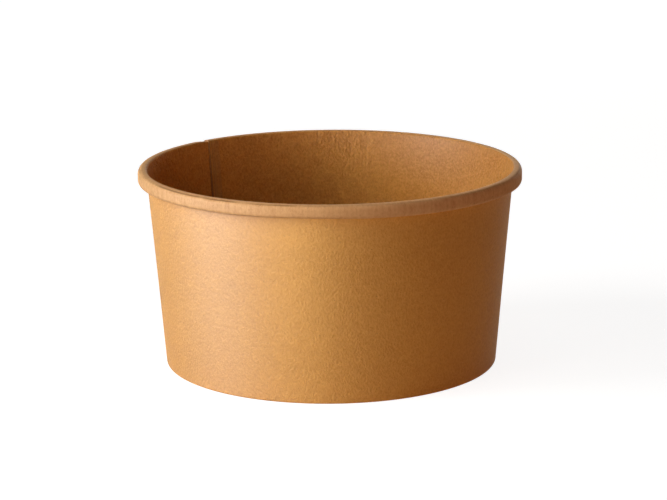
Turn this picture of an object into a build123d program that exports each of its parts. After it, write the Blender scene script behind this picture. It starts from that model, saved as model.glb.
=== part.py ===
from build123d import *
import os
from math import asin, atan2, cos, degrees, hypot, radians, sin

# A paper bowl made of two pieces of coated kraft board: a side wall rolled from one
# curved blank, and a round base pressed into a shallow cap. Millimetres, +Z up. The
# origin is the middle of the circle that the bowl stands on. Sections are drawn in
# (radius, height), and azimuths are degrees from +X, counted from +X towards +Y.

# Sizes over all
rim_diameter = 150.0       # over the rolled rim
foot_diameter = 130.6      # where the wall's outer line meets the table
bowl_height = 77.6

# Board
wall_board = 0.40
base_board = 0.40
glue_line = 0.03           # melted coating between the base's skirt and the wall board

# Rolled rim
curl_diameter = 5.25       # outside of the round part of the roll
lip_radius = 1.0           # outside, where the wall turns over into the roll
curl_gap = 0.15            # from the board's end, tucked up inside the roll, to the wall
tail_length = 1.4          # straight stretch of that end, along the wall

# Side seam, where the blank's ends lap
seam_azimuth = 134.2       # the cut edge that shows inside the bowl
lap_width = 7.0            # of the two plies, at the rim
lap_press = 0.05           # the sealed lap is thinner than two boards by this much
ramp_width = 6.5           # stretch in which the outer ply comes in to the wall's line
ramp_steps = 2
seam_notch = 1.2           # the outer ply stops this far above the table

# Foot
floor_height = 8.8         # top of the base above the table
base_corner = 1.2          # outside radius, where the base turns down into its skirt
skirt_end_gap = 0.25       # from the skirt's lower edge to the fold under it
hem_gap = 0.30             # from the folded-up board's edge to where the skirt starts to bend
fold_radius = 0.30         # middle of the board, at both corners of the fold

rim_radius = rim_diameter / 2
foot_radius = foot_diameter / 2
curl_radius = curl_diameter / 2
ply_step = wall_board - lap_press

# The wall's outer line runs from the foot and touches the inside of the lip's bend.
lip_centre = Vector(rim_radius - curl_radius, bowl_height - lip_radius)
lip_across = lip_centre.X - foot_radius
lip_distance = hypot(lip_across, lip_centre.Y)
lip_touch = degrees(asin((lip_radius - wall_board) / lip_distance))
lean = degrees(atan2(lip_across, lip_centre.Y)) - lip_touch
SIN = sin(radians(lean))
COS = cos(radians(lean))

skirt_top = floor_height - base_board / 2 - (base_corner - base_board / 2) * (1 + SIN)
hem_height = skirt_top - hem_gap


def toward(angle, length=1.0):
    """Step of this length at an angle in the section, from the outward direction."""
    return Vector(length * cos(radians(angle)), length * sin(radians(angle)))


def beside_wall(depth, height):
    """Point at this height, this far inside the wall's outer line."""
    return Vector(foot_radius + (height * SIN - depth) / COS, height)


def run(length):
    return ("run", length, 0.0)


def bend(radius, sweep):
    """Bend of the board's middle line, to the left where sweep is positive."""
    return ("bend", radius, sweep)


def board_section(start, heading, moves, board):
    """Section of a board whose middle line leaves start and follows the moves."""
    here = start
    left, right = [], []
    for kind, size, sweep in moves:
        if kind == "run":
            there = here + toward(heading, size)
            aside = toward(heading + 90, board / 2)
            left.append(Line(here + aside, there + aside))
            right.append(Line(here - aside, there - aside))
        else:
            side = 1 if sweep > 0 else -1
            centre = here + toward(heading + 90 * side, size)
            begin = heading - 90 * side
            left.append(CenterArc(centre, size - side * board / 2, begin, sweep))
            right.append(CenterArc(centre, size + side * board / 2, begin, sweep))
            there = centre + toward(begin + sweep, size)
            heading += sweep
        here = there
    first = Line(left[0] @ 0, right[0] @ 0)
    last = Line(left[-1] @ 1, right[-1] @ 1)
    return Plane.XZ * make_face(left + [last] + right + [first])


def roll_moves(nested, with_tail):
    """The rolled rim. A ply nested inside it has bends smaller by that much."""
    inside = wall_board / 2 + nested
    moves = [bend(lip_radius - inside, lean - 90), bend(curl_radius - inside, -180)]
    if with_tail:
        roll_low = bowl_height - curl_diameter
        room = lip_across * COS - roll_low * SIN - curl_gap
        close_radius = room / (1 + SIN)
        moves += [bend(close_radius - inside, -90 - lean), run(tail_length)]
    return moves


def wall_top(nested):
    """Height at which the wall's middle line turns over into the roll."""
    return lip_centre.Y + (lip_radius - wall_board / 2 - nested) * SIN


def wall_section(shift=0.0, with_tail=True):
    """Side wall from the hem's free edge, round the fold, up the wall and into the roll.

    A shift moves the wall outwards, as the outer ply lies at the seam.
    """
    hem_depth = 1.5 * wall_board + base_board + 2 * glue_line
    across = hem_depth - wall_board / 2 + shift
    fold_low = wall_board / 2 + fold_radius
    moves = [
        run((hem_height - fold_low - fold_radius * SIN) / COS),
        bend(fold_radius, 90 + lean),
        run((across - 2 * fold_radius) / COS),
        bend(fold_radius, 90 - lean),
        run((wall_top(shift) - fold_low + fold_radius * SIN) / COS),
    ]
    moves += roll_moves(shift, with_tail)
    return board_section(beside_wall(hem_depth, hem_height), -90 - lean, moves, wall_board)


def outer_ply_section():
    """The seam's outer ply: it starts above the fold, and nests inside the roll."""
    start = beside_wall(wall_board / 2 - ply_step, seam_notch)
    moves = [run((wall_top(ply_step) - seam_notch) / COS)]
    moves += roll_moves(ply_step, False)
    return board_section(start, 90 - lean, moves, wall_board)


def turned(section, azimuth, angle):
    """Solid swept round the bowl's axis, from this azimuth through this angle."""
    return revolve(Rot(Z=azimuth) * section, axis=Axis.Z, revolution_arc=angle)


def seam_ramp(azimuth, angle):
    """Stretch where the outer ply, alone past the seam's edge, comes in to the wall."""
    sections = []
    for step in range(ramp_steps + 1):
        part = step / ramp_steps
        face = wall_section(ply_step * (1 - part), False)
        sections.append(Rot(Z=azimuth + angle * part) * face)
    ramp = Part()
    for near, far in zip(sections, sections[1:]):
        ramp += loft([near, far], ruled=True)
    return ramp


def sidewall():
    """One blank: wall, rolled rim, fold and hem, with a lapped seam."""
    lap = degrees(lap_width / rim_radius)
    ramp = degrees(ramp_width / rim_radius)
    whole = turned(wall_section(), seam_azimuth + ramp, 360 - lap - ramp)
    whole += turned(wall_section(with_tail=False), seam_azimuth - lap, lap)
    whole += turned(outer_ply_section(), seam_azimuth - lap, lap)
    whole += seam_ramp(seam_azimuth, ramp)
    return whole


def base_disc():
    """Round base whose edge is pressed down into a skirt, parallel to the wall."""
    radius = base_corner - base_board / 2
    skirt_depth = wall_board + glue_line + base_board / 2
    turn = beside_wall(skirt_depth, skirt_top)
    skirt_low = wall_board + skirt_end_gap
    moves = [
        run(turn.X - radius * COS),
        bend(radius, -90 - lean),
        run((skirt_top - skirt_low) / COS),
    ]
    section = board_section(Vector(0, floor_height - base_board / 2), 0, moves, base_board)
    return revolve(section, axis=Axis.Z)


os.makedirs("parts", exist_ok=True)
export_step(sidewall(), "parts/sidewall.step")
export_step(base_disc(), "parts/base_disc.step")
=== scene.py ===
import math
from collections import namedtuple

import bmesh
import bpy
import numpy as np
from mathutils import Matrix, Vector


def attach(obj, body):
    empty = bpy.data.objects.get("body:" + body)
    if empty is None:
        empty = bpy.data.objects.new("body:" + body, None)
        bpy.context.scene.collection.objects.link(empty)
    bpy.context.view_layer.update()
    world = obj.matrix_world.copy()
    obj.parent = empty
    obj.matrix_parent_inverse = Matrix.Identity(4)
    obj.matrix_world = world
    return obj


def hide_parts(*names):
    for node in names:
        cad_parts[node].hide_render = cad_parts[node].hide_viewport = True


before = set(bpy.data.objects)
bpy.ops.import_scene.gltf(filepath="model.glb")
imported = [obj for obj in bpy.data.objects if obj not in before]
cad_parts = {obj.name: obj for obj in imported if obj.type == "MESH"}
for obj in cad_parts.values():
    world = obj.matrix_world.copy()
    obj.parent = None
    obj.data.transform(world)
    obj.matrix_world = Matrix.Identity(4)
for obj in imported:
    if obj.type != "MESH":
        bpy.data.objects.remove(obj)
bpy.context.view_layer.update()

# A kraft paper bowl of two pieces: a side wall rolled from one curved sheet, with a lapped
# seam and a rolled rim, and a round base pressed into a shallow cap. Lengths are
# millimetres until a mesh or a material is made, and metres there. Sections are drawn in
# (radius, height). Azimuths are degrees from +X towards +Y.
MM = 0.001

# Sizes, as in the CAD source
RIM_RADIUS = 75.0
FOOT_RADIUS = 65.3
BOWL_HEIGHT = 77.6
BOARD = 0.40
GLUE_LINE = 0.03
CURL_DIAMETER = 5.25
LIP_RADIUS = 1.0
CURL_GAP = 0.15
TAIL_LENGTH = 1.4
SEAM_AZIMUTH = 134.2
LAP_WIDTH = 7.0
RAMP_WIDTH = 6.5
SEAM_NOTCH = 1.2
FLOOR_HEIGHT = 8.8
BASE_CORNER = 1.2
SKIRT_END_GAP = 0.25
HEM_GAP = 0.30
FOLD_RADIUS = 0.30

PLY_STEP = 0.402            # the outer ply lies on the inner one at the lap
CURL_RADIUS = CURL_DIAMETER / 2
LIP_CENTRE = (RIM_RADIUS - CURL_RADIUS, BOWL_HEIGHT - LIP_RADIUS)
LIP_ACROSS = LIP_CENTRE[0] - FOOT_RADIUS
LIP_DISTANCE = math.hypot(LIP_ACROSS, LIP_CENTRE[1])
LEAN = math.degrees(
    math.atan2(LIP_ACROSS, LIP_CENTRE[1]) - math.asin((LIP_RADIUS - BOARD) / LIP_DISTANCE)
)
SIN = math.sin(math.radians(LEAN))
COS = math.cos(math.radians(LEAN))
SKIRT_TOP = FLOOR_HEIGHT - BOARD / 2 - (BASE_CORNER - BOARD / 2) * (1 + SIN)
HEM_HEIGHT = SKIRT_TOP - HEM_GAP

# The sheet is measured in degrees round the bowl, from the inner ply's cut edge
LAP_ANGLE = math.degrees(LAP_WIDTH / RIM_RADIUS)
RAMP_ANGLE = math.degrees(RAMP_WIDTH / RIM_RADIUS)
SHEET_RADIUS = 70.0         # mm, at which those degrees become lengths for the materials

# Resolution
TURN_COLUMNS = 600          # columns in a full turn of the sheet
LAP_COLUMNS = 9
FINE = 3                    # the roll's face has this many columns to each of them
BASE_COLUMNS = 360
# Radii of the rings on the base's floor, mm
BASE_RINGS = (1.5, 4, 8, 13, 19, 26, 34, 42, 49, 55, 59, 61.5)

# Materials of a board's faces, as places in its list
INNER, OUTER, EDGE, ROLLED = range(4)


# Sections

# A stretch of a board: a straight run of some length, or a bend of some radius through a
# sweep, left where positive. left and right are the rows of points on its two faces.
Move = namedtuple("Move", "name kind size sweep left right")

# A point on a board's face, with its normal, the length to it and the board's heading
Row = namedtuple("Row", "move point normal length heading")

# The left face is the bowl's inside and the roll's outside
FACES = (("left", 1), ("right", -1))


def toward(angle, length=1.0):
    """Step of this length at an angle in the section."""
    a = math.radians(angle)
    return np.array([length * math.cos(a), length * math.sin(a)])


def beside_wall(depth, height):
    """Point at this height, this far inside the wall's outer line."""
    return np.array([FOOT_RADIUS + (height * SIN - depth) / COS, height])


def along_move(move, here, heading, share):
    """Point of the board's middle line at this share of a move that leaves here."""
    if move.kind == "run":
        return here + toward(heading, move.size * share)
    side = 90 if move.sweep > 0 else -90
    centre = here + toward(heading + side, move.size)
    return centre + toward(heading - side + move.sweep * share, move.size)


def board_rows(start, heading, moves):
    """Rows of points along both faces of a board, move by move."""
    here, length = start, 0.0
    rows = {"left": [], "right": []}
    for move in moves:
        move_length = move.size * (1.0 if move.kind == "run" else math.radians(abs(move.sweep)))
        for face, sign in FACES:
            count = getattr(move, face)
            for j in range(count + (move is moves[-1])):
                share = j / count
                turn = heading + move.sweep * share
                normal = toward(turn + 90) * sign
                point = along_move(move, here, heading, share) + normal * BOARD / 2
                rows[face].append(Row(move.name, point, normal, length + move_length * share, turn))
        here = along_move(move, here, heading, 1.0)
        heading += move.sweep
        length += move_length
    return rows


HEM_MOVES = ("hem", "fold_in", "land", "fold_out", "foot")
ROLL_MOVES = ("lip", "roll", "close", "tail")
FINE_MOVES = ("lip", "roll")
LAP_MOVES = ("wall",) + ROLL_MOVES


def wall_moves(shift, end):
    """Start, heading and moves of the side wall, from the hem's edge into the roll.

    shift is how far the wall stands outwards as the outer ply, and end is how much of the
    roll's tucked-in end there is.
    """
    hem_depth = 2.5 * BOARD + 2 * GLUE_LINE
    across = hem_depth - BOARD / 2 + shift
    fold_low = BOARD / 2 + FOLD_RADIUS
    wall_low = fold_low - FOLD_RADIUS * SIN
    inside = BOARD / 2 + shift
    wall_high = LIP_CENTRE[1] + (LIP_RADIUS - inside) * SIN
    room = LIP_ACROSS * COS - (BOWL_HEIGHT - CURL_DIAMETER) * SIN - CURL_GAP
    close_radius = room / (1 + SIN) - inside
    moves = [
        Move("hem", "run", (HEM_HEIGHT - fold_low - FOLD_RADIUS * SIN) / COS, 0.0, 3, 6),
        Move("fold_in", "bend", FOLD_RADIUS, 90 + LEAN, 3, 5),
        Move("land", "run", (across - 2 * FOLD_RADIUS) / COS, 0.0, 1, 1),
        Move("fold_out", "bend", FOLD_RADIUS, 90 - LEAN, 3, 5),
        Move("foot", "run", (SEAM_NOTCH - wall_low) / COS, 0.0, 1, 1),
        Move("wall", "run", (wall_high - SEAM_NOTCH) / COS, 0.0, 9, 9),
        Move("lip", "bend", LIP_RADIUS - inside, LEAN - 90, 7, 4),
        Move("roll", "bend", CURL_RADIUS - inside, -180, 22, 10),
        Move("close", "bend", close_radius, (-90 - LEAN) * end, 4, 3),
        Move("tail", "run", TAIL_LENGTH * end, 0.0, 1, 1),
    ]
    return beside_wall(hem_depth, HEM_HEIGHT), -90 - LEAN, moves


# Unevenness of the rolled board


def smooth(x):
    """Smooth step from 0 to 1."""
    x = np.clip(x, 0.0, 1.0)
    return x * x * (3 - 2 * x)


def angle_from(azimuth, other):
    """Signed angle from other to azimuth, within half a turn."""
    return (azimuth - other + 180.0) % 360.0 - 180.0


def bells(azimuth, places):
    """Sum of bells round the bowl, each an azimuth, its half width and its height."""
    return sum(size * math.exp(-(angle_from(azimuth, middle) / width) ** 2)
               for middle, width, size in places)


WAVE_PEAK = 1.6             # of a sum of random waves, over the root of its squares


def wave_table(low, high, seed):
    """A smooth closed line round the bowl: a few random waves, about 1 at most."""
    draw = np.random.default_rng(seed)
    parts = [(n, draw.uniform(0, 2 * math.pi), draw.normal(0, 1) / n ** 0.5)
             for n in range(low, high)]
    total = math.sqrt(sum(size * size for _, _, size in parts)) * WAVE_PEAK
    return [(n, phase, size / total) for n, phase, size in parts]


def wave(table, azimuth):
    """Height of such a line at an azimuth."""
    a = math.radians(azimuth)
    return sum(size * math.cos(n * a + phase) for n, phase, size in table)


ROLL_WAVES = wave_table(3, 16, 11)
RIM_WAVES = wave_table(2, 7, 12)
WALL_WAVES = wave_table(2, 9, 13)
BASE_WAVES = wave_table(2, 6, 21)
ROLL_UNEVEN = 0.07          # mm, in the roll's height
RIM_UNEVEN = 0.035          # mm, in the rim's radius
WALL_UNEVEN = 0.06          # mm, in the radius at half height
ROLL_SQUARE = 0.46          # mm, how far the roll stands past a circle at its corners
ROLL_SAG = 0.30             # mm, how far its widest line lies below the middle
SAG_FADE = 1.0              # mm below the rim's top, in which the sag sets in
GROWTH_FADE = 60.0          # degrees of turn past the top, in which the uneven height sets in
# Where the roll's lower edge is seen to rise or drop: azimuth, half width, mm
ROLL_BUMPS = ((264.0, 15.0, -0.32), (312.0, 26.0, 0.26), (356.0, 22.0, 0.85), (186.0, 25.0, 0.25))

TUCK_FADE = 2.5             # degrees in which the roll's tucked end fades, beside lap and ramp
TUCK_LEAST = 0.06           # share of it that is left over them


def sheet_state(u):
    """Azimuth, shift outwards and share of the roll's tucked end, u degrees along the sheet."""
    shift = PLY_STEP * float(smooth(1 - (360.0 - u) / RAMP_ANGLE))
    from_lap = (u - LAP_ANGLE) / TUCK_FADE
    to_ramp = (360.0 - RAMP_ANGLE - u) / TUCK_FADE
    end = TUCK_LEAST + (1 - TUCK_LEAST) * float(smooth(min(from_lap, to_ramp)))
    return SEAM_AZIMUTH - u, shift, end


def pressed(row, sign):
    """Point of the roll as pressed: its face is flatter than a circle, and it sags."""
    r, z = row.point
    push = ROLL_SQUARE * math.sin(math.radians(2 * row.heading)) ** 2 * sign
    drop = BOWL_HEIGHT - z
    sag = ROLL_SAG * math.sin(math.pi * min(1.0, drop / CURL_DIAMETER))
    sag *= float(smooth(drop / SAG_FADE))
    z = min(BOWL_HEIGHT, z + row.normal[1] * push - sag)
    return min(RIM_RADIUS, r + row.normal[0] * push), z


def section_at(u):
    """Azimuth, and the rows of both faces, at u degrees along the sheet."""
    azimuth, shift, end = sheet_state(u)
    taller = (ROLL_UNEVEN * wave(ROLL_WAVES, azimuth) + bells(azimuth, ROLL_BUMPS)) / CURL_DIAMETER
    inward = RIM_UNEVEN * (wave(RIM_WAVES, azimuth) - 1)
    dent = WALL_UNEVEN * (wave(WALL_WAVES, azimuth) - 1)

    def uneven(row, sign):
        r, z = pressed(row, sign) if row.move == "roll" else row.point
        if row.move in ROLL_MOVES:
            past_top = float(smooth(-row.heading / GROWTH_FADE))
            z = BOWL_HEIGHT - (BOWL_HEIGHT - z) * (1 + taller * past_top)
        if row.move in LAP_MOVES:
            rise = z / BOWL_HEIGHT
            r += inward * rise + dent * math.sin(math.pi * rise) ** 2
        return row._replace(point=(r, z))

    rows = board_rows(*wall_moves(shift, end))
    return azimuth, {face: [uneven(row, sign) for row in rows[face]] for face, sign in FACES}


# Fine pleats over the roll, in mm but for their spacing, in degrees
PLEAT_SPACING = (0.45, 1.15)
PLEAT_WIDTH = (0.22, 0.40)
PLEAT_SLANT = 0.12          # spread of the slants, mm sideways for each mm along the roll
PLEAT_FROM = (0.2, 3.4)     # along the board from where the lip starts
PLEAT_TO = (4.4, 9.6)
PLEAT_MIDDLE = 4.0          # the length at which a slanting one keeps its place
PLEAT_FADES = (0.9, 1.3)    # in which it starts and ends
PLEAT_DEPTH = (0.010, 0.034)
DEEP_SHARE = 0.16           # of the pleats are deeper
DEEP_TIMES = 1.7            # by so many times


def pleat_depth(columns, lengths):
    """Depth of the pleats over the roll's face, columns by rows."""
    draw = np.random.default_rng(7)
    arc = math.radians(1.0) * RIM_RADIUS
    depth = np.zeros((len(columns), len(lengths)))
    place = 0.0
    while place < 360.0 + LAP_ANGLE:
        place += draw.uniform(*PLEAT_SPACING)
        width = draw.uniform(*PLEAT_WIDTH)
        slant = draw.normal(0.0, PLEAT_SLANT)
        low = draw.uniform(*PLEAT_FROM)
        high = draw.uniform(*PLEAT_TO)
        size = draw.uniform(*PLEAT_DEPTH) * (DEEP_TIMES if draw.random() < DEEP_SHARE else 1.0)
        away = (columns[:, None] - place) * arc - slant * (lengths[None, :] - PLEAT_MIDDLE)
        ends = smooth((lengths - low) / PLEAT_FADES[0]) * smooth((high - lengths) / PLEAT_FADES[1])
        depth += size * np.exp(-(away / width) ** 2) * ends[None, :]
    return depth


CREASE_WAVES = wave_table(4, 40, 14)
CREASE_BREAKS = wave_table(20, 120, 15)
CREASE_PLACE = 2.75         # mm along the board from where the lip starts
CREASE_WANDER = 0.12        # mm
CREASE_WIDTH = 0.36         # mm
CREASE_DEPTH = 0.24         # mm
CREASE_FRONT = 236.0        # azimuth of the middle one of its strong stretches at the front left
# Azimuth, half width and strength of its strong stretches
CREASE_ZONES = ((CREASE_FRONT, 9.0, 1.0), (250.0, 6.0, 1.0), (222.0, 5.0, 1.0), (52.0, 12.0, 1.0))
CREASE_LEAST = 0.12         # its strength between them
CREASE_MEAN = 0.75          # share of the strength that the breaks leave, in the mean
CREASE_BROKEN = 0.6         # how far they take it up and down


def top_crease(azimuths, lengths):
    """Depth of the broken crease along the roll's top edge, columns by rows."""
    depth = np.zeros((len(azimuths), len(lengths)))
    for c, azimuth in enumerate(azimuths):
        place = CREASE_PLACE + CREASE_WANDER * wave(CREASE_WAVES, azimuth)
        kept = max(0.0, CREASE_MEAN + CREASE_BROKEN * wave(CREASE_BREAKS, azimuth))
        size = CREASE_DEPTH * (CREASE_LEAST + bells(azimuth, CREASE_ZONES)) * kept
        depth[c] = size * np.exp(-((lengths - place) / CREASE_WIDTH) ** 2)
    return depth


RIB_COUNT = 200
RIB_DEPTH = 0.055           # mm
RIB_LOW = 0.9               # mm above the table
RIB_TOP_GAP = 0.4           # mm below the hem's edge
RIB_FADE = 0.8              # mm


def rib_depth(azimuth, face, row):
    """Depth of the ribs that a sealing wheel leaves on the hem's free face."""
    if face != "right" or row.move != "hem":
        return 0.0
    z = row.point[1]
    share = float(smooth((z - RIB_LOW) / RIB_FADE)
                  * smooth((HEM_HEIGHT - RIB_TOP_GAP - z) / RIB_FADE))
    return RIB_DEPTH * share * (0.5 + 0.5 * math.cos(math.radians(azimuth) * RIB_COUNT))


# Side wall

# One row of the mesh: the move and heading that it comes from, whether it has the fine
# columns, and its points' numbers
Line = namedtuple("Line", "move heading fine points")


def around(r, azimuth, z):
    """Point round the bowl's axis, in metres."""
    a = math.radians(azimuth)
    return (r * math.cos(a) * MM, r * math.sin(a) * MM, z * MM)


def along_sheet(u):
    """Length in metres of u degrees of the sheet."""
    return math.radians(u) * SHEET_RADIUS * MM


def sheet_columns():
    """Places along the sheet, in degrees, of the fine columns."""
    turn = np.linspace(0.0, 360.0, TURN_COLUMNS + 1)
    lap = np.linspace(360.0, 360.0 + LAP_ANGLE, LAP_COLUMNS + 1)[1:]
    coarse = np.concatenate([turn, lap])
    places = np.arange((len(coarse) - 1) * FINE + 1) / FINE
    return np.interp(places, np.arange(len(coarse)), coarse)


def sheet_points(columns):
    """Points of both faces, their places on the flat sheet, and the lines they form."""
    sections = [section_at(u) for u in columns]
    azimuths = [azimuth for azimuth, _ in sections]
    layout = sections[0][1]
    lengths = np.array([row.length for row in layout["left"] if row.move in FINE_MOVES])
    lengths -= lengths[0]
    pleats = pleat_depth(columns, lengths) + top_crease(azimuths, lengths)

    points, sheet, lines = [], [], {"left": [], "right": []}
    for face, _ in FACES:
        fine_row = 0
        for k, first in enumerate(layout[face]):
            fine = face == "left" and first.move in FINE_MOVES
            stop = len(columns) if first.move in LAP_MOVES else TURN_COLUMNS * FINE + 1
            line = []
            for c in range(0, stop, 1 if fine else FINE):
                row = sections[c][1][face][k]
                push = pleats[c, fine_row] if fine else rib_depth(azimuths[c], face, row)
                r, z = row.point[0] - row.normal[0] * push, row.point[1] - row.normal[1] * push
                line.append(len(points))
                points.append(around(r, azimuths[c], z))
                sheet.append((along_sheet(columns[c]), row.length * MM, 0.0))
            lines[face].append(Line(first.move, first.heading, fine, line))
            fine_row += fine
    return points, sheet, lines


def between(a, b):
    """Faces between two lines, where either may have the fine columns."""
    if a.fine == b.fine:
        count = min(len(a.points), len(b.points)) - 1
        return [[a.points[j], a.points[j + 1], b.points[j + 1], b.points[j]] for j in range(count)]
    coarse, fine = (a.points, b.points) if b.fine else (b.points, a.points)
    faces = []
    for j in range(len(coarse) - 1):
        edge = fine[j * FINE:(j + 1) * FINE + 1]
        if b.fine:
            faces.append([coarse[j], coarse[j + 1]] + edge[::-1])
        else:
            faces.append([coarse[j + 1], coarse[j]] + edge)
    return faces


def line_places(side, move):
    """Places in a side's lines of this move's own."""
    return [k for k, line in enumerate(side) if line.move == move]


def cut_end(lines, move, column):
    """Face that closes the board over one move, at a column where the sheet is cut."""
    loops = []
    for side in (lines["left"], lines["right"]):
        places = line_places(side, move)
        ends = side[places[0]:places[-1] + 2]
        loops.append([line.points[column * FINE if line.fine else column] for line in ends])
    return loops[0] + loops[1][::-1]


LIP_TOP = 38.0              # heading past which the bent board looks rolled


def build_sidewall():
    """The side wall: one sheet, rolled, with its hem folded in and its ends lapped."""
    points, sheet, lines = sheet_points(sheet_columns())
    left, right = lines["left"], lines["right"]
    faces = []              # loops of points, each with its material

    def add(loops, material):
        faces.extend((loop, material) for loop in loops)

    for side, material in ((left, INNER), (right, OUTER)):
        for a, b in zip(side, side[1:]):
            rolled = side is left and a.move in ROLL_MOVES and a.heading < LIP_TOP
            add(between(a, b), ROLLED if rolled else material)
    add(between(left[0], right[0]), EDGE)        # the hem's free edge
    add(between(left[-1], right[-1]), EDGE)      # the end inside the roll
    low_left, low_right = left[line_places(left, "wall")[0]], right[line_places(right, "wall")[0]]
    add(between(low_left, low_right)[TURN_COLUMNS:], EDGE)      # under the outer ply
    for moves, column in (
        (HEM_MOVES + LAP_MOVES, 0),
        (HEM_MOVES, TURN_COLUMNS),
        (LAP_MOVES, TURN_COLUMNS + LAP_COLUMNS),
    ):
        add([cut_end(lines, move, column) for move in moves], EDGE)
    return finish_mesh("sidewall_board", points, faces, sheet)


# Base

BOW_RADIUS = 60.0           # mm, within which the pressed floor isn't quite flat
BOW_RISE = 0.06             # mm, at its middle
BOW_RIPPLE = 0.20           # mm


def base_bow(r, azimuth):
    """How far the pressed floor stands above flat, mm."""
    share = min(1.0, r / BOW_RADIUS)
    ripple = BOW_RIPPLE * wave(BASE_WAVES, azimuth) * share ** 2 * (1 - share)
    return BOW_RISE * (1 - share ** 2) + ripple


def build_base():
    """The base: a floor, its pressed corner and its skirt, as rings on both faces."""
    radius = BASE_CORNER - BOARD / 2
    turn = beside_wall(BOARD + GLUE_LINE + BOARD / 2, SKIRT_TOP)
    moves = [
        Move("flat", "run", turn[0] - radius * COS, 0.0, 1, 1),
        Move("corner", "bend", radius, -90 - LEAN, 8, 5),
        Move("skirt", "run", (SKIRT_TOP - BOARD - SKIRT_END_GAP) / COS, 0.0, 4, 4),
    ]
    rows = board_rows(np.array([0.0, FLOOR_HEIGHT - BOARD / 2]), 0.0, moves)
    azimuths = [j * 360.0 / BASE_COLUMNS for j in range(BASE_COLUMNS)]
    points, sheet, rings = [], [], {"left": [], "right": []}
    for face, height in (("left", FLOOR_HEIGHT), ("right", FLOOR_HEIGHT - BOARD)):
        profile = [(r, height) for r in BASE_RINGS]
        profile += [row.point for row in rows[face] if row.move != "flat"]
        for r, z in profile:
            rings[face].append(range(len(points), len(points) + BASE_COLUMNS))
            points += [around(r, azimuth, z + base_bow(r, azimuth)) for azimuth in azimuths]
            sheet += [around(r, azimuth, 0.0) for azimuth in azimuths]
    faces = []

    def band(a, b, material):
        for j in range(BASE_COLUMNS):
            k = (j + 1) % BASE_COLUMNS
            faces.append(([a[j], a[k], b[k], b[j]], material))

    for face, material in (("left", INNER), ("right", OUTER)):
        for a, b in zip(rings[face], rings[face][1:]):
            band(a, b, material)
        faces.append((list(rings[face][0]), material))
    band(rings["left"][-1], rings["right"][-1], EDGE)
    return finish_mesh("base_board", points, faces, sheet)


SHARP_ANGLE = 50.0          # degrees, past which an edge is shaded as a corner


def finish_mesh(name, points, faces, sheet):
    """Mesh object with faces pointing out, smooth but for its cut edges."""
    mesh = bpy.data.meshes.new(name)
    mesh.from_pydata(points, [], [loop for loop, _ in faces])
    layer = mesh.attributes.new("sheet", "FLOAT_VECTOR", "POINT")
    layer.data.foreach_set("vector", np.array(sheet, np.float32).ravel())
    materials = np.array([material for _, material in faces], np.int32)
    mesh.polygons.foreach_set("material_index", materials)
    work = bmesh.new()
    work.from_mesh(mesh)
    bmesh.ops.recalc_face_normals(work, faces=work.faces)
    work.to_mesh(mesh)
    work.free()
    mesh.polygons.foreach_set("use_smooth", np.ones(len(mesh.polygons), bool))
    mesh.set_sharp_from_angle(angle=math.radians(SHARP_ANGLE))
    mesh.update()
    made = bpy.data.objects.new(name, mesh)
    bpy.context.scene.collection.objects.link(made)
    return made


# Materials


class Nodes:
    """Short calls for building a tree of shader nodes."""

    def __init__(self, tree):
        self.tree = tree
        tree.nodes.clear()

    def feed(self, socket, value):
        """Link a socket to another node's output, or set it to a value."""
        if isinstance(value, bpy.types.NodeSocket):
            self.tree.links.new(value, socket)
        elif socket.type == "RGBA":
            socket.default_value = (*value, 1.0)
        else:
            socket.default_value = value

    def new(self, kind, inputs=None, **settings):
        """Node with these settings and inputs."""
        node = self.tree.nodes.new(kind)
        for key, value in settings.items():
            setattr(node, key, value)
        for key, value in (inputs or {}).items():
            self.feed(node.inputs[key], value)
        return node

    def mapping(self, source, scale, turn=0.0):
        """Coordinates turned, and then scaled."""
        inputs = {
            "Vector": source,
            "Scale": [1.0 / k for k in scale],
            "Rotation": (0.0, 0.0, math.radians(turn)),
        }
        return self.new("ShaderNodeMapping", inputs, vector_type="TEXTURE").outputs["Vector"]

    def noise(self, source, scale=1.0, detail=3.0, rough=0.55, distortion=0.0):
        inputs = {"Vector": source, "Scale": scale, "Detail": detail,
                  "Roughness": rough, "Distortion": distortion}
        return self.new("ShaderNodeTexNoise", inputs).outputs["Fac"]

    def math(self, operation, *values, clamp=False):
        inputs = dict(enumerate(values))
        node = self.new("ShaderNodeMath", inputs, operation=operation, use_clamp=clamp)
        return node.outputs[0]

    def away(self, source, place):
        """Distance of a value from a place."""
        return self.math("ABSOLUTE", self.math("SUBTRACT", source, place))

    def ramp(self, source, low, high, to_low=0.0, to_high=1.0):
        """Smooth step from one value to another, between low and high."""
        inputs = {"Value": source, "From Min": low, "From Max": high,
                  "To Min": to_low, "To Max": to_high}
        node = self.new("ShaderNodeMapRange", inputs, interpolation_type="SMOOTHSTEP")
        return node.outputs["Result"]

    def mix(self, share, a, b):
        """Colour a, with a share of colour b."""
        node = self.new("ShaderNodeMix", {"Factor": share}, data_type="RGBA")
        colours = [socket for socket in node.inputs if socket.type == "RGBA"]
        for socket, value in zip(colours, (a, b)):
            self.feed(socket, value)
        return next(socket for socket in node.outputs if socket.type == "RGBA")

    def parts(self, vector):
        """The X, Y and Z of a vector."""
        return self.new("ShaderNodeSeparateXYZ", {0: vector}).outputs

    def weighted(self, parts):
        """Sum of (noise - 0.5) * weight."""
        total = None
        for source, weight in parts:
            part = self.math("MULTIPLY", self.math("SUBTRACT", source, 0.5), weight)
            total = part if total is None else self.math("ADD", total, part)
        return total


def new_material(name):
    """A material and the nodes of its empty tree."""
    material = bpy.data.materials.new(name)
    material.use_nodes = True
    return material, Nodes(material.node_tree)


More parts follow.
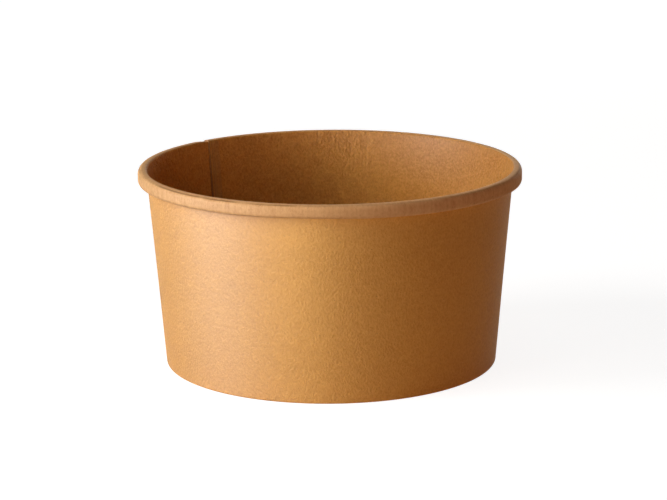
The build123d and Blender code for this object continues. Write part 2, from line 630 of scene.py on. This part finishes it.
# Scales of the noises, per metre along the sheet, up it and through it
FIBRES = 2400.0
FIBRE_STRETCH = 0.34        # scale along a fibre, as a share of that across it
FIBRE_TURNS = (58.0, 93.0, 127.0)       # degrees from the sheet's length
CLUMPS = (1050.0, 850.0, 1000.0)
FLOCS = 300.0
SLOW_WAVES = 110.0
CLOUDS = 40.0
ROLL_STREAKS = (820.0, 60.0, 1.0)
FLECKS = (700.0, 1500.0, 1.0)
FLECK_TURN = 33.0           # degrees
SEAM_STREAKS = (2600.0, 12.0, 1.0)
CREASE_GAPS = (55.0, 1.0, 1.0)

# Ramps of a noise: its low and high, and the shares that it has there
FLECK_RAMP = (0.70, 0.80, 0.0, 0.5)
STREAK_RAMP = (0.25, 0.75, 0.35, 1.5)
GAP_RAMP = (0.36, 0.54, 0.0, 0.75)

MOTTLE = (2.0, 1.6, 0.8)    # weights of fibres, clumps and flocs in the colour
CLOUD_WEIGHT = 0.5
ROUGH_FLOCS = (0.3, 0.7)    # low and high of the flocs that change the roughness
ROUGH_SPREAD = 0.05         # by which it changes, up and down

# Seam marks: lengths in mm, and shares of the colour laid over the board's own. The dark
# lines beside the cut edges are partly the raw edge's stain and partly painted shade of the step
# there.
EDGE_STAIN_AND_SHADE = (0.20, 0.085, 0.025)
STAIN_AND_SHADE_NEAR = (0.5, 0.85)    # width and share
STAIN_AND_SHADE_FAR = (0.7, 0.85)
PRESSED_TONE = (0.40, 0.225, 0.075)
PRESSED_WIDTH = 5.6         # of the pressed strip, from the cut edge
PRESSED_FADE = 1.2
PRESSED_SHARE = 0.42
SCORE_PLACE = 1.4           # of the strip's score line, from the cut edge
SCORE_EDGES = (0.05, 0.32)  # from its middle
SCORE_SHARE = 0.32

# Painted shade along the crease
CREASE_SHADE_TONE = (0.22, 0.10, 0.035)
CREASE_EDGES = (0.10, 0.45)     # mm from its middle
CREASE_REACH = (20.0, 50.0)     # mm along the sheet from the front left, where it weakens
CREASE_FAR_SHARE = 0.25


def fibres(n, source):
    """Short fibres, most of them lying up the wall: three stretched noises, crossed."""
    total = None
    for turn in FIBRE_TURNS:
        placed = n.mapping(source, (FIBRES * FIBRE_STRETCH, FIBRES, FIBRES), turn)
        line = n.noise(placed, detail=2.0, rough=0.5, distortion=0.35)
        total = line if total is None else n.math("ADD", total, line)
    return n.math("MULTIPLY", total, 1 / len(FIBRE_TURNS))


def seam_marks(n, place, colour, near, far, pressed_strip):
    """Colour with a dark line beside the cut edge that shows on this face: partly the raw
    edge's stain, partly painted shade of the step at that edge.

    near and far are where that edge lies along the sheet, on the ply at the sheet's start
    and on the ply at its end. The pressed strip is greyer, with a score line, and starts at
    near.
    """
    along = n.parts(place)["X"]
    if pressed_strip:
        strip_end = near + PRESSED_WIDTH * MM
        grey = n.ramp(along, strip_end - PRESSED_FADE * MM, strip_end, PRESSED_SHARE, 0.0)
        streaks = n.noise(n.mapping(place, SEAM_STREAKS), detail=1.0)
        grey = n.math("MULTIPLY", grey, n.ramp(streaks, *STREAK_RAMP), clamp=True)
        colour = n.mix(grey, colour, PRESSED_TONE)
        off = n.away(along, near + SCORE_PLACE * MM)
        score = n.ramp(off, SCORE_EDGES[0] * MM, SCORE_EDGES[1] * MM, SCORE_SHARE, 0.0)
        colour = n.mix(score, colour, EDGE_STAIN_AND_SHADE)
    # The raw edge's stain and painted shade of the step, on both sides of the cut edge
    width, share = STAIN_AND_SHADE_FAR
    colour = n.mix(n.ramp(along, far - width * MM, far, 0.0, share), colour, EDGE_STAIN_AND_SHADE)
    width, share = STAIN_AND_SHADE_NEAR
    return n.mix(n.ramp(n.away(along, near), 0.0, width * MM, share, 0.0), colour, EDGE_STAIN_AND_SHADE)


def lip_length():
    """Length along the board from the hem's edge to where the lip starts, mm."""
    rows = board_rows(*wall_moves(0.0, 1.0))["left"]
    return next(row.length for row in rows if row.move == "lip")


def painted_crease_shade(n, place, colour):
    """Colour with painted shade, in a broken line, along the crease in the roll's top edge."""
    sheet = n.parts(place)
    off = n.away(sheet["Y"], (lip_length() + CREASE_PLACE) * MM)
    line = n.ramp(off, CREASE_EDGES[0] * MM, CREASE_EDGES[1] * MM, 1.0, 0.0)
    gaps = n.noise(n.mapping(place, CREASE_GAPS))
    line = n.math("MULTIPLY", line, n.ramp(gaps, *GAP_RAMP))
    far = n.away(sheet["X"], along_sheet((SEAM_AZIMUTH - CREASE_FRONT) % 360.0))
    reach = n.ramp(far, CREASE_REACH[0] * MM, CREASE_REACH[1] * MM, 1.0, CREASE_FAR_SHARE)
    return n.mix(n.math("MULTIPLY", line, reach), colour, CREASE_SHADE_TONE)


def kraft(name, light, dark, fleck, rough, specular, coat, relief, grain=1.0, streaks=0.0,
          seam=None, crease=False):
    """Kraft board: fibre mottle at four scales, dark flecks, and relief from the fibres.

    coat is the weight and roughness of the calendered surface's faint gloss. relief holds
    the heights, in mm, of the fibres, the clumps, the flocs and the slow waves. grain and
    streaks are strengths, and seam holds what seam_marks needs. crease adds painted shade
    along the crease in the roll's top edge.
    """
    material, n = new_material(name)
    place = n.new("ShaderNodeAttribute", attribute_name="sheet").outputs["Vector"]
    fine = fibres(n, place)
    clump = n.noise(n.mapping(place, CLUMPS), detail=2.5, rough=0.6)
    floc = n.noise(place, FLOCS, detail=3.0, rough=0.6)
    slow = n.noise(place, SLOW_WAVES, detail=2.0, rough=0.5)
    cloud = n.noise(place, CLOUDS, detail=3.0, rough=0.5)
    mottle = [(noise, weight * grain) for noise, weight in zip((fine, clump, floc), MOTTLE)]
    mottle.append((cloud, CLOUD_WEIGHT))
    if streaks:
        mottle.append((n.noise(n.mapping(place, ROLL_STREAKS), detail=2.0), streaks))
    share = n.math("ADD", n.weighted(mottle), 0.5, clamp=True)
    colour = n.mix(share, dark, light)
    spots = n.noise(n.mapping(place, FLECKS, FLECK_TURN), detail=1.0)
    colour = n.mix(n.ramp(spots, *FLECK_RAMP), colour, fleck)
    if seam:
        colour = seam_marks(n, place, colour, *seam)
    # painted shade in the roll's crease
    if crease:
        colour = painted_crease_shade(n, place, colour)
    height = n.weighted(zip((fine, clump, floc, slow), relief))
    bump = n.new("ShaderNodeBump", {"Strength": 1.0, "Distance": MM, "Height": height})
    surface = n.new("ShaderNodeBsdfPrincipled", {
        "Base Color": colour,
        "Roughness": n.ramp(floc, *ROUGH_FLOCS, rough - ROUGH_SPREAD, rough + ROUGH_SPREAD),
        "Specular IOR Level": specular,
        "Coat Weight": coat[0],
        "Coat Roughness": coat[1],
        "Normal": bump.outputs["Normal"],
    })
    n.new("ShaderNodeOutputMaterial", {"Surface": surface.outputs["BSDF"]})
    return material


OUTSIDE = dict(
    light=(0.665, 0.325, 0.069), dark=(0.555, 0.252, 0.043), fleck=(0.22, 0.08, 0.02),
    rough=0.60, specular=0.02, coat=(0.14, 0.44), relief=(0.24, 0.42, 0.15, 0.14), grain=1.30,
)
COATED = dict(
    light=(0.66, 0.300, 0.067), dark=(0.50, 0.204, 0.038), fleck=(0.24, 0.10, 0.03),
    rough=0.55, specular=0.02, coat=(0.012, 0.45), relief=(0.16, 0.70, 0.80, 0.80), grain=1.6,
)
BENT = dict(
    light=(0.71, 0.41, 0.185), dark=(0.58, 0.30, 0.118), fleck=(0.24, 0.11, 0.04),
    rough=0.62, specular=0.02, coat=(0.0, 0.50), relief=(0.08, 0.14, 0.10, 0.0), streaks=1.2,
)
CUT = dict(
    light=(0.42, 0.21, 0.08), dark=(0.25, 0.11, 0.04), fleck=(0.15, 0.07, 0.03),
    rough=0.8, specular=0.05, coat=(0.0, 0.5), relief=(0.10, 0.10, 0.05, 0.0), grain=1.4,
)
SHEET_TURN = along_sheet(360.0)
SHEET_LAP = along_sheet(LAP_ANGLE)

outside = kraft("kraft_outside", seam=(SHEET_LAP, SHEET_TURN + SHEET_LAP, False), **OUTSIDE)
inside = kraft("kraft_coated", seam=(0.0, SHEET_TURN, True), **COATED)
rolled = kraft("kraft_rolled", crease=True, **BENT)
cut = kraft("kraft_cut_edge", **CUT)
base_under = kraft("kraft_base_under", **OUTSIDE)
base_top = kraft("kraft_base_top", **COATED)


# Pieces

for piece, node, slot, looks in (
    (build_sidewall(), "sidewall", "kraft_wall", (inside, outside, cut, rolled)),
    (build_base(), "base_disc", "kraft_base", (base_top, base_under, cut)),
):
    for material in looks:
        piece.data.materials.append(material)
    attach(piece, "root")
    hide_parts(node)


# Floor, world, lamps and camera

WHITE = (1.0, 1.0, 1.0)
FLOOR_HALF = 6.0            # m
FLOOR_DROP = 0.05           # mm below the bowl's foot
BOUNCE_TONE = (0.60, 0.56, 0.50)
SHADOW_TONE = (0.35, 0.35, 0.35)
FLOOR_LIFT = 0.88           # the rest of the floor's white, under its shadows
AMBIENT = (1.0, 0.72, 0.50)
AMBIENT_STRENGTH = 0.015


def white_for_view(n, seen, hidden):
    """Shader that is one thing to the camera and to gloss, and another to soft light."""
    path = n.new("ShaderNodeLightPath").outputs
    rays = n.math("MAXIMUM", path["Is Camera Ray"], path["Is Glossy Ray"])
    rays = n.math("MAXIMUM", rays, path["Is Transmission Ray"])
    return n.new("ShaderNodeMixShader", {0: rays, 1: hidden, 2: seen}).outputs[0]


def add_floor():
    """White floor that keeps the bowl's shadow."""
    material, n = new_material("floor_paper")
    plain = n.new("ShaderNodeBsdfDiffuse", {"Color": BOUNCE_TONE}).outputs[0]
    shadow = n.new("ShaderNodeBsdfDiffuse", {"Color": SHADOW_TONE}).outputs[0]
    lift = n.new("ShaderNodeEmission", {"Strength": FLOOR_LIFT}).outputs[0]
    seen = n.new("ShaderNodeAddShader", {0: shadow, 1: lift}).outputs[0]
    n.new("ShaderNodeOutputMaterial", {"Surface": white_for_view(n, seen, plain)})
    corners = [(x * FLOOR_HALF, y * FLOOR_HALF, 0.0) for x, y in ((-1, -1), (1, -1), (1, 1), (-1, 1))]
    mesh = bpy.data.meshes.new("floor")
    mesh.from_pydata(corners, [], [(0, 1, 2, 3)])
    mesh.materials.append(material)
    floor = bpy.data.objects.new("floor", mesh)
    bpy.context.scene.collection.objects.link(floor)
    floor.location.z = -FLOOR_DROP * MM


def add_world():
    """White backdrop, with a faint warm light of its own."""
    world = bpy.data.worlds.new("studio")
    world.use_nodes = True
    n = Nodes(world.node_tree)
    seen = n.new("ShaderNodeBackground", {"Color": WHITE, "Strength": 1.0}).outputs[0]
    soft = n.new("ShaderNodeBackground", {"Color": AMBIENT, "Strength": AMBIENT_STRENGTH})
    n.new("ShaderNodeOutputWorld", {"Surface": white_for_view(n, seen, soft.outputs[0])})
    bpy.context.scene.world = world


# Softboxes round the bowl. The azimuth is seen from above, from the camera towards its
# right, lengths are metres and the power is watts. Some light by gloss alone.
Softbox = namedtuple("Softbox", "name azimuth elevation distance width height power colour gloss")
LAMPS = [
    Softbox("strip", -39.0, 11.0, 0.285, 0.10, 0.50, 0.40, WHITE, False),
    Softbox("key", -77.0, 25.0, 1.4, 0.60, 0.70, 14.2, (1.0, 0.99, 0.96), False),
    Softbox("sheen", -72.0, 6.0, 1.2, 0.70, 0.30, 400.0, WHITE, True),
    Softbox("card", -22.0, 6.0, 1.2, 0.40, 0.30, 350.0, (1.0, 0.60, 0.18), True),
    Softbox("fill", 32.0, 4.0, 1.4, 0.60, 0.35, 2.95, (1.0, 0.40, 0.22), False),
    Softbox("back", 166.0, 4.0, 1.4, 0.90, 0.40, 7.0, (1.0, 0.95, 0.88), False),
    Softbox("top", 0.0, 82.0, 1.2, 0.60, 0.60, 1.2, (1.0, 0.96, 0.92), False),
]
LAMP_AIM = Vector((0.0, 0.0, 0.045))


def add_softbox(box):
    """Area lamp that faces the bowl."""
    light = bpy.data.lights.new(box.name, "AREA")
    light.shape = "RECTANGLE"
    light.size, light.size_y = box.width, box.height
    light.energy = box.power
    light.color = box.colour
    lamp = bpy.data.objects.new(box.name, light)
    bpy.context.scene.collection.objects.link(lamp)
    a, e = math.radians(box.azimuth), math.radians(box.elevation)
    away = Vector((math.sin(a) * math.cos(e), -math.cos(a) * math.cos(e), math.sin(e)))
    lamp.location = LAMP_AIM + away * box.distance
    lamp.rotation_mode = "QUATERNION"
    lamp.rotation_quaternion = (-away).to_track_quat("-Z", "Y")
    lamp.visible_camera = False
    lamp.visible_diffuse = not box.gloss


CAMERA_PLACE = (0.00118, -0.91257, 0.26371)
CAMERA_TURN = (76.4153, 0.4131, -0.0997)    # degrees about X, Y and Z
CAMERA_LENS = 128.47        # mm
SENSOR_WIDTH = 36.0         # mm


def add_camera():
    """Camera at the photograph's viewing angle."""
    data = bpy.data.cameras.new("camera")
    data.sensor_width = SENSOR_WIDTH
    data.lens = CAMERA_LENS
    camera = bpy.data.objects.new("camera", data)
    bpy.context.scene.collection.objects.link(camera)
    camera.location = CAMERA_PLACE
    camera.rotation_euler = [math.radians(angle) for angle in CAMERA_TURN]
    bpy.context.scene.camera = camera


add_floor()
add_world()
for box in LAMPS:
    add_softbox(box)
add_camera()
bpy.context.scene.view_settings.view_transform = "Standard"
